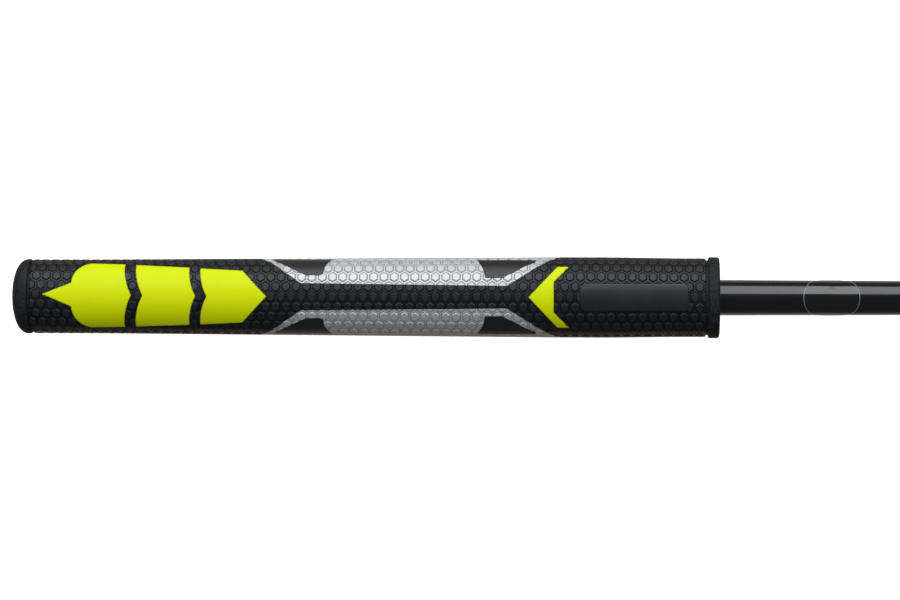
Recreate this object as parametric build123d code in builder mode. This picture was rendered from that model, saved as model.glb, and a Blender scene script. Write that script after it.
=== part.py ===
from build123d import *
import os
from math import radians, sin, sqrt

# A swing trainer stick: an oversize oval grip on a tapered steel golf shaft with a weighted tip.
#
# Frame, in millimetres: +X runs along the stick from the butt cap to the tip, +Z points out of
# the grip's decorated front and +Y to its side. The origin is the mouth of the vent hole in the
# butt cap, on the stick's axis.

# ---------------------------------------------------------------- driving dimensions
OVAL = 0.84                 # depth of every grip section divided by its width

GRIP_LENGTH = 267.0         # butt apex to mouth face
BUTT_HALF_WIDTH = 14.05     # skin, half width beside the butt cap
SWELL_HALF_WIDTH = 15.15    # skin, half width at the fattest place
MOUTH_HALF_WIDTH = 14.8     # skin, half width beside the mouth ring
TAPER_START, TAPER_END = 33.0, 205.0
SWELL_END, MOUTH_START = 222.0, 256.0
GRIP_BAYS = 10              # the grip is lofted through one section more than this
SKIN_THICKNESS = 0.8        # the panels are let through the skin and are as thick
BACKING_THICKNESS = 1.0     # felt that the skin is bonded to
COVER_THICKNESS = SKIN_THICKNESS + BACKING_THICKNESS
END_GROOVE_DEPTH = 0.4      # shadow groove where the skin meets the cap and the ring
NECK_CLEARANCE = 0.05

CAP_HALF_WIDTH = 14.15
CAP_RIM = 7.0               # end of the butt cap's visible rim
CAP_DOME = 6.1              # depth of its dome
CAP_FACE_RADIUS = 2.6       # flat at the dome's apex, round the vent
CAP_CHEEK = (1.3, 9.6)      # place along and radius where the dome is roundest
SKIN_START = 7.8
CAP_NECK_END = 13.0
VENT_RADIUS = 1.5

SKIN_END = 261.9
RING_START = 262.4
RING_HALF_WIDTH = 15.23
RING_EDGE = 0.9
RING_NECK_START = 257.0

SHAFT_BUTT_RADIUS = 7.62    # 0.600 in butt
SHAFT_TIP_RADIUS = 4.70     # 0.370 in tip
SHAFT_START = 4.0
SHAFT_TAPER_START = 47.0
SHAFT_TAPER_END = 768.0
SHAFT_END = 893.0
SHAFT_WALL = 0.6
TAPE_THICKNESS = 0.25

SEAM_WIDTH = 3.3
LABEL_CENTRE = 235.2
LABEL_LENGTH, LABEL_WIDTH, LABEL_CORNER = 40.2, 10.4, 2.0
DECAL_CENTRE, DECAL_RADIUS, DECAL_THICKNESS = 308.5, 10.55, 0.12
DECAL_WRAP = 88.5           # degrees that its plan reaches round the shaft to either side

FERRULE_START, WEIGHT_START = 824.0, 848.0
FERRULE_TIP_WALL = 0.7
WEIGHT_NECK_RADIUS = 7.4
WEIGHT_SHOULDER_END = 862.0
WEIGHT_END = 896.0
WEIGHT_SPIGOT_RADIUS, WEIGHT_SPIGOT_END = 8.5, 901.0
TIP_RADIUS = RING_HALF_WIDTH * OVAL    # the weight is as deep as the ring: the stick lies level
BUMPER_END, BUMPER_ROUND = 907.0, 4.5
WEIGHT_GROOVES = (870.0, 876.0, 882.0)
GROOVE_WIDTH, GROOVE_DEPTH = 1.6, 0.7

REACH = 20.0                # farther from the axis than anything on the stick


# ---------------------------------------------------------------- shared forms
def smooth_step(x, start, end):
    """0 before start, 1 after end, and an S-curve with level ends between them."""
    t = min(max((x - start) / (end - start), 0.0), 1.0)
    return t * t * (3.0 - 2.0 * t)


def grip_half_width(x):
    """Half width of the grip's skin: a straight taper to the swell, then a soft fall."""
    taper = min(max((x - TAPER_START) / (TAPER_END - TAPER_START), 0.0), 1.0)
    swell = BUTT_HALF_WIDTH + (SWELL_HALF_WIDTH - BUTT_HALF_WIDTH) * taper
    fall = (SWELL_HALF_WIDTH - MOUTH_HALF_WIDTH) * smooth_step(x, SWELL_END, MOUTH_START)
    return swell - fall


def shaft_radius(x):
    """Outer radius of the shaft: parallel, then a straight taper, then parallel."""
    t = min(max((x - SHAFT_TAPER_START) / (SHAFT_TAPER_END - SHAFT_TAPER_START), 0.0), 1.0)
    return SHAFT_BUTT_RADIUS + (SHAFT_TIP_RADIUS - SHAFT_BUTT_RADIUS) * t


def oval(place, half_width, inset=0.0):
    """One oval section across the stick, set in by inset all round."""
    with BuildSketch(Plane.YZ.offset(place)) as section:
        Ellipse(half_width - inset, half_width * OVAL - inset)
    return section.sketch


def grip_sections(start, end, inset=0.0):
    """The grip's sections from start to end, for a loft."""
    step = (end - start) / GRIP_BAYS       # even spacing keeps the lofted sides from rippling
    places = [start + step * bay for bay in range(GRIP_BAYS + 1)]
    return [oval(x, grip_half_width(x), inset) for x in places]


def turning_outline(*points):
    """A closed half section of (place along the stick, radius), to be turned about its axis.
    A taper is drawn as a straight two-point spline: turned, it meshes lighter than a cone."""
    with BuildSketch(Plane.XZ) as outline:
        with BuildLine():
            for start, end in zip(points, points[1:] + points[:1]):
                tapers = start[0] != end[0] and start[1] != end[1]
                Spline(start, end) if tapers else Line(start, end)
        make_face()
    return outline.sketch


def shaft_bore(start, end, clearance):
    """Half section of the hole that takes the shaft from start to end, clearance wider than it."""
    bends = [x for x in (SHAFT_TAPER_START,) if start < x < end]
    wall = [(x, shaft_radius(x) + clearance) for x in [start] + bends + [end]]
    return turning_outline((start, 0.0), *wall, (end, 0.0))


# The thin oval layer that the skin and every panel in it are cut from.
with BuildPart() as outer_layer:
    loft(grip_sections(SKIN_START, SKIN_END))
    loft(grip_sections(SKIN_START, SKIN_END, SKIN_THICKNESS), mode=Mode.SUBTRACT)


# ---------------------------------------------------------------- coloured panels of the front
BRACKET_LEAN, BRACKET_WAIST = 0.28, 0.48    # middle of each arc, as shares of depth and half width


def bracket_edge(corner_x, half_width, apex_x):
    """An edge across the grip like a curly bracket: two arcs that meet in a point at apex_x."""
    lean = corner_x + BRACKET_LEAN * (apex_x - corner_x)
    waist = BRACKET_WAIST * half_width
    ThreePointArc((corner_x, half_width), (lean, waist), (apex_x, 0.0))
    ThreePointArc((apex_x, 0.0), (lean, -waist), (corner_x, -half_width))


NIB_TIP, NIB_NOTCH, NIB_NOTCH_HALF = 13.0, 23.9, 4.55
NIB_CHEEK, NIB_CHEEK_HALF = 26.0, 9.75
NIB_SHOULDER, NIB_SHOULDER_HALF = 31.25, 12.2
NIB_END, NIB_END_HALF, NIB_APEX = 43.7, 11.9, 46.7

with BuildSketch() as lime_nib_outline:
    with BuildLine():
        bracket_edge(NIB_END, NIB_END_HALF, NIB_APEX)
        Line((NIB_END, -NIB_END_HALF), (NIB_SHOULDER, -NIB_SHOULDER_HALF))
        ThreePointArc(
            (NIB_SHOULDER, -NIB_SHOULDER_HALF),
            (NIB_CHEEK, -NIB_CHEEK_HALF),
            (NIB_NOTCH, -NIB_NOTCH_HALF),
        )
        Line((NIB_NOTCH, -NIB_NOTCH_HALF), (NIB_TIP, 0.0))
        Line((NIB_TIP, 0.0), (NIB_NOTCH, NIB_NOTCH_HALF))
        ThreePointArc(
            (NIB_NOTCH, NIB_NOTCH_HALF),
            (NIB_CHEEK, NIB_CHEEK_HALF),
            (NIB_SHOULDER, NIB_SHOULDER_HALF),
        )
        Line((NIB_SHOULDER, NIB_SHOULDER_HALF), (NIB_END, NIB_END_HALF))
    make_face()

with BuildPart() as lime_nib_panel:
    extrude(lime_nib_outline.sketch, amount=REACH)
    add(outer_layer.part, mode=Mode.INTERSECT)
lime_nib_panel.part.label = "lime_nib_panel"

MIDDLE_START, MIDDLE_START_HALF, MIDDLE_START_APEX = 47.9, 11.7, 51.0
MIDDLE_END, MIDDLE_END_HALF, MIDDLE_END_APEX = 68.25, 10.9, 70.95

with BuildSketch() as lime_middle_outline:
    with BuildLine():
        bracket_edge(MIDDLE_START, MIDDLE_START_HALF, MIDDLE_START_APEX)
        bracket_edge(MIDDLE_END, MIDDLE_END_HALF, MIDDLE_END_APEX)
        Line((MIDDLE_START, MIDDLE_START_HALF), (MIDDLE_END, MIDDLE_END_HALF))
        Line((MIDDLE_START, -MIDDLE_START_HALF), (MIDDLE_END, -MIDDLE_END_HALF))
    make_face()

with BuildPart() as lime_middle_panel:
    extrude(lime_middle_outline.sketch, amount=REACH)
    add(outer_layer.part, mode=Mode.INTERSECT)
lime_middle_panel.part.label = "lime_middle_panel"

ARROW_START, ARROW_START_HALF, ARROW_START_APEX = 72.4, 10.65, 75.15
ARROW_END, ARROW_END_HALF, ARROW_TIP = 88.4, 9.85, 97.7

with BuildSketch() as lime_arrow_outline:
    with BuildLine():
        bracket_edge(ARROW_START, ARROW_START_HALF, ARROW_START_APEX)
        Polyline(
            (ARROW_START, ARROW_START_HALF),
            (ARROW_END, ARROW_END_HALF),
            (ARROW_TIP, 0.0),
            (ARROW_END, -ARROW_END_HALF),
            (ARROW_START, -ARROW_START_HALF),
        )
    make_face()

with BuildPart() as lime_arrow_panel:
    extrude(lime_arrow_outline.sketch, amount=REACH)
    add(outer_layer.part, mode=Mode.INTERSECT)
lime_arrow_panel.part.label = "lime_arrow_panel"

CHEVRON_TIP, CHEVRON_OUTER, CHEVRON_END, CHEVRON_HALF = 195.8, 206.5, 210.85, 11.5
CHEVRON_INNER, CHEVRON_INNER_HALF = 205.2, 5.7

with BuildSketch() as lime_chevron_outline:
    with BuildLine():
        Polyline(
            (CHEVRON_TIP, 0.0),
            (CHEVRON_OUTER, CHEVRON_HALF),
            (CHEVRON_END, CHEVRON_HALF),
            (CHEVRON_INNER, CHEVRON_INNER_HALF),
            (CHEVRON_INNER, -CHEVRON_INNER_HALF),
            (CHEVRON_END, -CHEVRON_HALF),
            (CHEVRON_OUTER, -CHEVRON_HALF),
            close=True,
        )
    make_face()

with BuildPart() as lime_chevron_panel:
    extrude(lime_chevron_outline.sketch, amount=REACH)
    add(outer_layer.part, mode=Mode.INTERSECT)
lime_chevron_panel.part.label = "lime_chevron_panel"

with BuildSketch() as label_outline:
    with Locations((LABEL_CENTRE, 0.0)):
        RectangleRounded(LABEL_LENGTH, LABEL_WIDTH, LABEL_CORNER)

with BuildPart() as label_pad:
    extrude(label_outline.sketch, amount=REACH)
    add(outer_layer.part, mode=Mode.INTERSECT)
label_pad.part.label = "label_pad"


# ---------------------------------------------------------------- silver side bands and windows
# Each band runs down one side of the grip and wraps round it, from its straight inner edge on
# the front to the same edge on the back. At both ends it narrows to a strip that sweeps over
# the side, and smooth black windows fill the space between strip and band.
BAND_HALF = 4.45                       # inner edge, out from the middle of the front
BAND_CORNERS = (110.65, 187.8)         # where the inner edge turns outwards
BAND_BENDS = ((101.35, 11.4), (198.3, 11.05))
BAND_TIPS = ((93.2, 14.9), (208.6, 15.5))

with BuildSketch(Plane.XY.offset(-REACH)) as band_outline:
    with BuildLine():
        inner_edge = Line((BAND_CORNERS[0], BAND_HALF), (BAND_CORNERS[1], BAND_HALF))
        butt_run = Line(inner_edge @ 0, BAND_BENDS[0])
        butt_sweep = TangentArc(butt_run @ 1, BAND_TIPS[0], tangent=butt_run % 1)
        mouth_run = Line(inner_edge @ 1, BAND_BENDS[1])
        mouth_sweep = TangentArc(mouth_run @ 1, BAND_TIPS[1], tangent=mouth_run % 1)
        Polyline(butt_sweep @ 1, (BAND_TIPS[0][0], REACH), (BAND_TIPS[1][0], REACH), mouth_sweep @ 1)
    make_face()

BUTT_WINDOW_FAR, BUTT_WINDOW_FAR_HALF = (99.9, 121.3), 13.85       # edge beside the side wrap
BUTT_WINDOW_NEAR, BUTT_WINDOW_NEAR_HALF = (112.4, 118.3), 8.25     # edge beside the inner strip
BUTT_WINDOW_CHEEK = (119.0, 11.7)                                  # middle of its rounded end
MOUTH_WINDOW_FAR, MOUTH_WINDOW_FAR_HALF = (175.7, 199.5), 13.8
MOUTH_WINDOW_NEAR, MOUTH_WINDOW_NEAR_HALF = (179.4, 185.9), 7.1
MOUTH_WINDOW_CHEEK = (178.3, 11.05)

with BuildSketch() as butt_window_outline:
    with BuildLine():
        straight = Polyline(
            (BUTT_WINDOW_FAR[1], BUTT_WINDOW_FAR_HALF),
            (BUTT_WINDOW_FAR[0], BUTT_WINDOW_FAR_HALF),
            (BUTT_WINDOW_NEAR[0], BUTT_WINDOW_NEAR_HALF),
            (BUTT_WINDOW_NEAR[1], BUTT_WINDOW_NEAR_HALF),
        )
        ThreePointArc(straight @ 1, BUTT_WINDOW_CHEEK, straight @ 0)
    make_face()

with BuildSketch() as mouth_window_outline:
    with BuildLine():
        straight = Polyline(
            (MOUTH_WINDOW_FAR[0], MOUTH_WINDOW_FAR_HALF),
            (MOUTH_WINDOW_FAR[1], MOUTH_WINDOW_FAR_HALF),
            (MOUTH_WINDOW_NEAR[1], MOUTH_WINDOW_NEAR_HALF),
            (MOUTH_WINDOW_NEAR[0], MOUTH_WINDOW_NEAR_HALF),
        )
        ThreePointArc(straight @ 1, MOUTH_WINDOW_CHEEK, straight @ 0)
    make_face()

windows = {}
for end_name, outline in (("butt", butt_window_outline.sketch), ("mouth", mouth_window_outline.sketch)):
    for side_name, turn in (("upper", False), ("lower", True)):
        for face_name, reach in (("front", REACH), ("back", -REACH)):
            with BuildPart() as pane:
                extrude(outline, amount=reach)
                add(outer_layer.part, mode=Mode.INTERSECT)
                if turn:
                    mirror(about=Plane.XZ, mode=Mode.REPLACE)
            pane.part.label = f"window_{face_name}_{side_name}_{end_name}"
            windows[pane.part.label] = pane.part

with BuildPart() as silver_band_upper:
    extrude(band_outline.sketch, amount=2 * REACH)
    add(outer_layer.part, mode=Mode.INTERSECT)
    for outline in (butt_window_outline.sketch, mouth_window_outline.sketch):
        extrude(outline, amount=REACH, both=True, mode=Mode.SUBTRACT)
silver_band_upper.part.label = "silver_band_upper"

with BuildPart() as silver_band_lower:
    mirror(silver_band_upper.part, about=Plane.XZ)
silver_band_lower.part.label = "silver_band_lower"


# ---------------------------------------------------------------- skin, seam and core of the grip
with BuildSketch() as seam_outline:
    with Locations((GRIP_LENGTH / 2, 0.0)):
        Rectangle(GRIP_LENGTH, SEAM_WIDTH)

with BuildPart() as seam_strip:
    extrude(seam_outline.sketch, amount=-REACH)
    add(outer_layer.part, mode=Mode.INTERSECT)
seam_strip.part.label = "seam_strip"

front_outlines = [
    lime_nib_outline.sketch,
    lime_middle_outline.sketch,
    lime_arrow_outline.sketch,
    lime_chevron_outline.sketch,
    label_outline.sketch,
]

with BuildPart() as grip_skin:
    add(outer_layer.part)
    for outline in front_outlines:
        extrude(outline, amount=REACH, mode=Mode.SUBTRACT)
    extrude(seam_outline.sketch, amount=-REACH, mode=Mode.SUBTRACT)
    lower_band_outline = mirror(band_outline.sketch, about=Plane.XZ, mode=Mode.PRIVATE)
    for outline in (band_outline.sketch, lower_band_outline):
        extrude(outline, amount=2 * REACH, mode=Mode.SUBTRACT)
grip_skin.part.label = "grip_skin"

with BuildPart() as felt_backing:
    loft(grip_sections(SKIN_START, SKIN_END, SKIN_THICKNESS))
    loft(grip_sections(SKIN_START, SKIN_END, COVER_THICKNESS), mode=Mode.SUBTRACT)
felt_backing.part.label = "felt_backing"

# Foam under the skin, between the necks of the cap and the ring, bored for the taped shaft.
with BuildPart() as foam_core:
    loft(grip_sections(SKIN_START, SKIN_END, COVER_THICKNESS))
    split(bisect_by=Plane.YZ.offset(CAP_NECK_END), keep=Keep.TOP)
    split(bisect_by=Plane.YZ.offset(RING_NECK_START), keep=Keep.BOTTOM)
    revolve(shaft_bore(CAP_NECK_END, RING_NECK_START, TAPE_THICKNESS), axis=Axis.X, mode=Mode.SUBTRACT)
foam_core.part.label = "foam_core"

with BuildPart() as grip_tape:
    revolve(shaft_bore(CAP_NECK_END, RING_NECK_START, TAPE_THICKNESS), axis=Axis.X)
    revolve(shaft_bore(CAP_NECK_END, RING_NECK_START, 0.0), axis=Axis.X, mode=Mode.SUBTRACT)
grip_tape.part.label = "grip_tape"


# ---------------------------------------------------------------- butt cap and mouth ring
with BuildPart() as butt_cap:
    with BuildSketch(Plane.XZ) as dome_profile:
        with BuildLine():
            Line((0.0, 0.0), (0.0, CAP_FACE_RADIUS))
            Spline(
                (0.0, CAP_FACE_RADIUS),
                CAP_CHEEK,
                (CAP_DOME, CAP_HALF_WIDTH),
                tangents=[(0.0, 1.0), (1.0, 0.0)],
            )
            Polyline((CAP_DOME, CAP_HALF_WIDTH), (CAP_RIM, CAP_HALF_WIDTH), (CAP_RIM, 0.0), (0.0, 0.0))
        make_face()
    revolve(axis=Axis.X)
    scale(by=(1.0, 1.0, OVAL))         # squash the turned dome to the grip's oval
    extrude(oval(CAP_RIM, BUTT_HALF_WIDTH, END_GROOVE_DEPTH), amount=SKIN_START - CAP_RIM)
    extrude(
        oval(SKIN_START, BUTT_HALF_WIDTH, COVER_THICKNESS + NECK_CLEARANCE),
        amount=CAP_NECK_END - SKIN_START,
    )
    revolve(shaft_bore(SHAFT_START, CAP_NECK_END, 0.0), axis=Axis.X, mode=Mode.SUBTRACT)
    with BuildSketch(Plane.YZ):
        Circle(VENT_RADIUS)
    extrude(amount=SHAFT_START, mode=Mode.SUBTRACT)
butt_cap.part.label = "butt_cap"

with BuildPart() as mouth_ring:
    extrude(oval(RING_START, RING_HALF_WIDTH), amount=GRIP_LENGTH - RING_START)
    fillet(mouth_ring.edges().group_by(Axis.X)[-1], radius=RING_EDGE)
    extrude(oval(SKIN_END, MOUTH_HALF_WIDTH, END_GROOVE_DEPTH), amount=RING_START - SKIN_END)
    extrude(
        oval(RING_NECK_START, MOUTH_HALF_WIDTH, COVER_THICKNESS + NECK_CLEARANCE),
        amount=SKIN_END - RING_NECK_START,
    )
    revolve(shaft_bore(RING_NECK_START, GRIP_LENGTH, 0.0), axis=Axis.X, mode=Mode.SUBTRACT)
mouth_ring.part.label = "mouth_ring"


# ---------------------------------------------------------------- shaft and tip
with BuildPart() as shaft:
    revolve(
        turning_outline(
            (SHAFT_START, shaft_radius(SHAFT_START) - SHAFT_WALL),
            (SHAFT_START, shaft_radius(SHAFT_START)),
            (SHAFT_TAPER_START, SHAFT_BUTT_RADIUS),
            (SHAFT_TAPER_END, SHAFT_TIP_RADIUS),
            (SHAFT_END, SHAFT_TIP_RADIUS),
            (SHAFT_END, SHAFT_TIP_RADIUS - SHAFT_WALL),
            (SHAFT_TAPER_END, SHAFT_TIP_RADIUS - SHAFT_WALL),
            (SHAFT_TAPER_START, SHAFT_BUTT_RADIUS - SHAFT_WALL),
        ),
        axis=Axis.X,
    )
shaft.part.label = "shaft"


def wrapped_disc(radius, carrier):
    """Plan of a disc of that radius wrapped on a round bar: a point at arc length s from the
    front lies at carrier * sin(s / carrier) to the side, and sqrt(radius^2 - s^2) along."""
    reach = carrier * radians(DECAL_WRAP)
    steps = [reach * sin(radians(angle)) for angle in range(-90, 91, 30)]
    return [(sqrt(radius**2 - s**2), carrier * sin(s / carrier)) for s in steps]


with BuildPart() as shaft_decal:
    decal_shaft = shaft_radius(DECAL_CENTRE)
    edge = wrapped_disc(DECAL_RADIUS, decal_shaft)
    with BuildSketch(Plane(origin=(DECAL_CENTRE, 0.0, 0.0))):
        with BuildLine():
            Spline(*edge)
            Spline(*[(-x, y) for x, y in edge])
            Line(edge[0], (-edge[0][0], edge[0][1]))
            Line(edge[-1], (-edge[-1][0], edge[-1][1]))
        make_face()
    extrude(amount=REACH)
    start, end = DECAL_CENTRE - 2 * DECAL_RADIUS, DECAL_CENTRE + 2 * DECAL_RADIUS
    revolve(shaft_bore(start, end, DECAL_THICKNESS), axis=Axis.X, mode=Mode.INTERSECT)
    revolve(shaft_bore(start, end, 0.0), axis=Axis.X, mode=Mode.SUBTRACT)
shaft_decal.part.label = "shaft_decal"

with BuildPart() as ferrule:
    revolve(
        turning_outline(
            (FERRULE_START, SHAFT_TIP_RADIUS),
            (FERRULE_START, SHAFT_TIP_RADIUS + FERRULE_TIP_WALL),
            (WEIGHT_START, WEIGHT_NECK_RADIUS),
            (WEIGHT_START, SHAFT_TIP_RADIUS),
        ),
        axis=Axis.X,
    )
ferrule.part.label = "ferrule"

with BuildPart() as tip_weight:
    revolve(
        turning_outline(
            (WEIGHT_START, 0.0),
            (WEIGHT_START, WEIGHT_NECK_RADIUS),
            (WEIGHT_SHOULDER_END, TIP_RADIUS),
            (WEIGHT_END, TIP_RADIUS),
            (WEIGHT_END, WEIGHT_SPIGOT_RADIUS),
            (WEIGHT_SPIGOT_END, WEIGHT_SPIGOT_RADIUS),
            (WEIGHT_SPIGOT_END, 0.0),
        ),
        axis=Axis.X,
    )
    for place in WEIGHT_GROOVES:
        revolve(
            turning_outline(
                (place, REACH),
                (place, TIP_RADIUS - GROOVE_DEPTH),
                (place + GROOVE_WIDTH, TIP_RADIUS - GROOVE_DEPTH),
                (place + GROOVE_WIDTH, REACH),
            ),
            axis=Axis.X,
            mode=Mode.SUBTRACT,
        )
    revolve(shaft_bore(WEIGHT_START, SHAFT_END, 0.0), axis=Axis.X, mode=Mode.SUBTRACT)
tip_weight.part.label = "tip_weight"

with BuildPart() as tip_bumper:
    with BuildSketch(Plane.XZ) as bumper_profile:
        with BuildLine():
            cup = Polyline(
                (BUMPER_END, TIP_RADIUS - BUMPER_ROUND),
                (BUMPER_END, 0.0),
                (WEIGHT_SPIGOT_END, 0.0),
                (WEIGHT_SPIGOT_END, WEIGHT_SPIGOT_RADIUS),
                (WEIGHT_END, WEIGHT_SPIGOT_RADIUS),
                (WEIGHT_END, TIP_RADIUS),
                (BUMPER_END - BUMPER_ROUND, TIP_RADIUS),
            )
            round_start = (BUMPER_END - BUMPER_ROUND, TIP_RADIUS - BUMPER_ROUND)
            corner = PolarLine(round_start, BUMPER_ROUND, 45.0, mode=Mode.PRIVATE) @ 1
            Spline(cup @ 1, corner, cup @ 0, tangents=[(1.0, 0.0), (0.0, -1.0)])
        make_face()
    revolve(axis=Axis.X)
tip_bumper.part.label = "tip_bumper"


# ---------------------------------------------------------------- files
pieces = [
    butt_cap.part,
    lime_nib_panel.part,
    lime_middle_panel.part,
    lime_arrow_panel.part,
    lime_chevron_panel.part,
    label_pad.part,
    silver_band_upper.part,
    silver_band_lower.part,
    *windows.values(),
    seam_strip.part,
    grip_skin.part,
    felt_backing.part,
    foam_core.part,
    grip_tape.part,
    mouth_ring.part,
    shaft.part,
    shaft_decal.part,
    ferrule.part,
    tip_weight.part,
    tip_bumper.part,
]

os.makedirs("parts", exist_ok=True)
for piece in pieces:
    export_step(piece, f"parts/{piece.label}.step")
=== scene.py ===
"""Swing trainer stick: its looks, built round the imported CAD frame.

The stick lies along +X with the decorated front of its oval grip facing +Z. The embossed
skin, the silver bands, the inlaid panels and every turned piece are surfaces worked out with
numpy on the grip's own coordinates: place along the stick, arc length round the section from
the middle of the front, and height along the outward normal. Lengths are in millimetres
until a mesh is written, which is in metres.
"""

from __future__ import annotations

import logging
import math
from dataclasses import dataclass, field
from enum import Enum
from functools import lru_cache
from typing import Callable, Iterable, Sequence

import bpy
import numpy as np
from mathutils import Matrix, Vector


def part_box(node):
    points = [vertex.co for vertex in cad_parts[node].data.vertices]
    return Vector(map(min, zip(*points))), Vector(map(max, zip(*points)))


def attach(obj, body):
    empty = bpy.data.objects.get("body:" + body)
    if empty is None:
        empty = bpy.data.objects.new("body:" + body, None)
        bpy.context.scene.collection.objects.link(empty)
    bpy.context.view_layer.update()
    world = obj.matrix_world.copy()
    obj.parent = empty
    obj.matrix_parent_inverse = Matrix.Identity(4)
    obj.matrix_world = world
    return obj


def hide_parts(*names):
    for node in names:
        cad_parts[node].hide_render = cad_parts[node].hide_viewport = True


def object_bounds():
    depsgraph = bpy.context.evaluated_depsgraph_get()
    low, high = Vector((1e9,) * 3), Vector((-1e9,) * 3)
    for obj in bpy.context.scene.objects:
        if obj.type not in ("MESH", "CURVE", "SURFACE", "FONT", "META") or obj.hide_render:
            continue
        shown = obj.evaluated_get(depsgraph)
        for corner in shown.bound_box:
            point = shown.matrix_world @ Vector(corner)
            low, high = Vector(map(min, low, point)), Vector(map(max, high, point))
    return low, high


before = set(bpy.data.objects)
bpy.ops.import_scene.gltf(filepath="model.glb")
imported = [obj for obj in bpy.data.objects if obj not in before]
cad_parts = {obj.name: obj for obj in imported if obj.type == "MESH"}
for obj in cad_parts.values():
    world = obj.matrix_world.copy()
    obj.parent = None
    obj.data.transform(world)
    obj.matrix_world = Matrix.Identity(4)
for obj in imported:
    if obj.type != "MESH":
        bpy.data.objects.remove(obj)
CAD_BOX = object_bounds()

MM = 0.001
NEARLY_ZERO = 1e-6
BODY = "root"
LOG = logging.getLogger("swing_trainer_stick")

Array = np.ndarray
Field = Callable[[Array, Array], Array]
Point = Sequence[float]
Piece = bpy.types.Object
Material = bpy.types.Material


# --- the frame, in millimetres
@dataclass(frozen=True)
class Span:
    """A CAD node's box in millimetres, from its lowest to its highest corner."""

    low: Vector
    high: Vector

    @classmethod
    def of(cls, node: str) -> "Span":
        """The box of the named CAD node."""
        low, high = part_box(node)
        return cls(low / MM, high / MM)

    @property
    def half_width(self) -> float:
        """Half of the box's width across the stick."""
        return (self.high.y - self.low.y) / 2

    @property
    def half_depth(self) -> float:
        """Half of the box's depth."""
        return (self.high.z - self.low.z) / 2

    @property
    def length(self) -> float:
        """Length along the stick."""
        return self.high.x - self.low.x

    def at(self, share: float) -> float:
        """Place along the stick at that share of the length from the butt end."""
        return self.low.x + share * self.length

    def point(self, along: float, out: float) -> tuple[float, float]:
        """Place along at that share of the length, and out to +Y at that share of the half width."""
        return self.at(along), out * self.half_width


# --- the oval form
@lru_cache(maxsize=4)
def unit_arc(ratio: float) -> tuple[Array, Array]:
    """Arc length of an ellipse of half width 1 and half depth ratio, as a table.

    The point at angle t is (sin t, ratio cos t), so ds = sqrt(cos^2 t + ratio^2 sin^2 t) dt,
    summed by the trapezium rule.

    Args:
        ratio: depth of the ellipse divided by its width.

    Returns:
        Arc lengths and the angles that they belong to, from minus half a turn to half a turn.
    """
    angle = np.linspace(-math.pi, math.pi, 2881)
    speed = np.hypot(np.cos(angle), ratio * np.sin(angle))
    steps = (speed[1:] + speed[:-1]) / 2 * np.diff(angle)
    arc = np.concatenate([[0.0], np.cumsum(steps)])
    return arc - arc[-1] / 2, angle


@dataclass(frozen=True)
class OvalForm:
    """The grip's outer form: oval sections whose half width changes along the stick.

    The half widths are those beside the cap, at the fattest place and beside the mouth ring;
    ratio is a section's depth divided by its width. Beside the cap the skin is turned toward
    +Y by the arc length twist, which has run out at twist_end. Arc lengths round are measured
    on the section whose half width is reference_half.
    """

    start: float
    end: float
    butt_half: float
    swell_half: float
    mouth_half: float
    ratio: float
    twist: float = 0.9
    twist_end: float = 76.0
    taper_start: float = 33.0
    taper_end: float = 205.0
    swell_end: float = 222.0
    mouth_start: float = 256.0
    reference_half: float = 14.5

    @classmethod
    def from_frame(cls) -> "OvalForm":
        """Read the form from the CAD skin's box.

        Returns:
            The form.
        """
        skin, ring = Span.of("grip_skin"), Span.of("mouth_ring")
        return cls(
            start=skin.low.x,
            end=skin.high.x,
            butt_half=14.05,
            swell_half=15.15,
            mouth_half=14.8,
            ratio=ring.half_depth / ring.half_width,
        )

    @property
    def girth(self) -> float:
        """Arc length once round the section of reference half width."""
        arc, _ = unit_arc(self.ratio)
        return (arc[-1] - arc[0]) * self.reference_half

    def half_width(self, x: Array) -> Array:
        """Half width: a straight taper to the swell, then a smooth-step fall to the mouth.

        Args:
            x: places along the stick.

        Returns:
            Half widths.
        """
        taper = np.clip((x - self.taper_start) / (self.taper_end - self.taper_start), 0, 1)
        fall = np.clip((x - self.swell_end) / (self.mouth_start - self.swell_end), 0, 1)
        fall = fall * fall * (3 - 2 * fall)
        swell = self.butt_half + (self.swell_half - self.butt_half) * taper
        return swell - (self.swell_half - self.mouth_half) * fall

    def angle(self, around: Array) -> Array:
        """Ellipse angles, looked up in the table of arc lengths after whole turns are taken off.

        Args:
            around: arc lengths round the reference section.

        Returns:
            Angles from the middle of the front.
        """
        arc, angle = unit_arc(self.ratio)
        turns, rest = np.divmod(np.asarray(around) / self.reference_half - arc[0], arc[-1] - arc[0])
        return np.interp(rest + arc[0], arc, angle) + math.tau * turns

    def side(self, x: Array, around: Array) -> Array:
        """Distance out to +Y of the surface point."""
        return self.half_width(x) * np.sin(self.angle(around))

    def place(self, points: Array) -> Array:
        """Surface points in space.

        The point is (x, a sin t, a ratio cos t) plus height times the ellipse's unit normal,
        which is (0, ratio sin t, cos t) over its length.

        Args:
            points: rows of place along, arc length round and height.

        Returns:
            Rows of x, y and z in millimetres.
        """
        x, around, height = np.asarray(points, float).T
        turn = self.twist * np.clip((self.twist_end - x) / (self.twist_end - self.start), 0, 1)
        half, angle = self.half_width(x), self.angle(around + turn)
        normal_y, normal_z = self.ratio * np.sin(angle), np.cos(angle)
        size = np.hypot(normal_y, normal_z)
        return np.column_stack([
            x,
            half * np.sin(angle) + height * normal_y / size,
            half * self.ratio * np.cos(angle) + height * normal_z / size,
        ])


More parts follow.
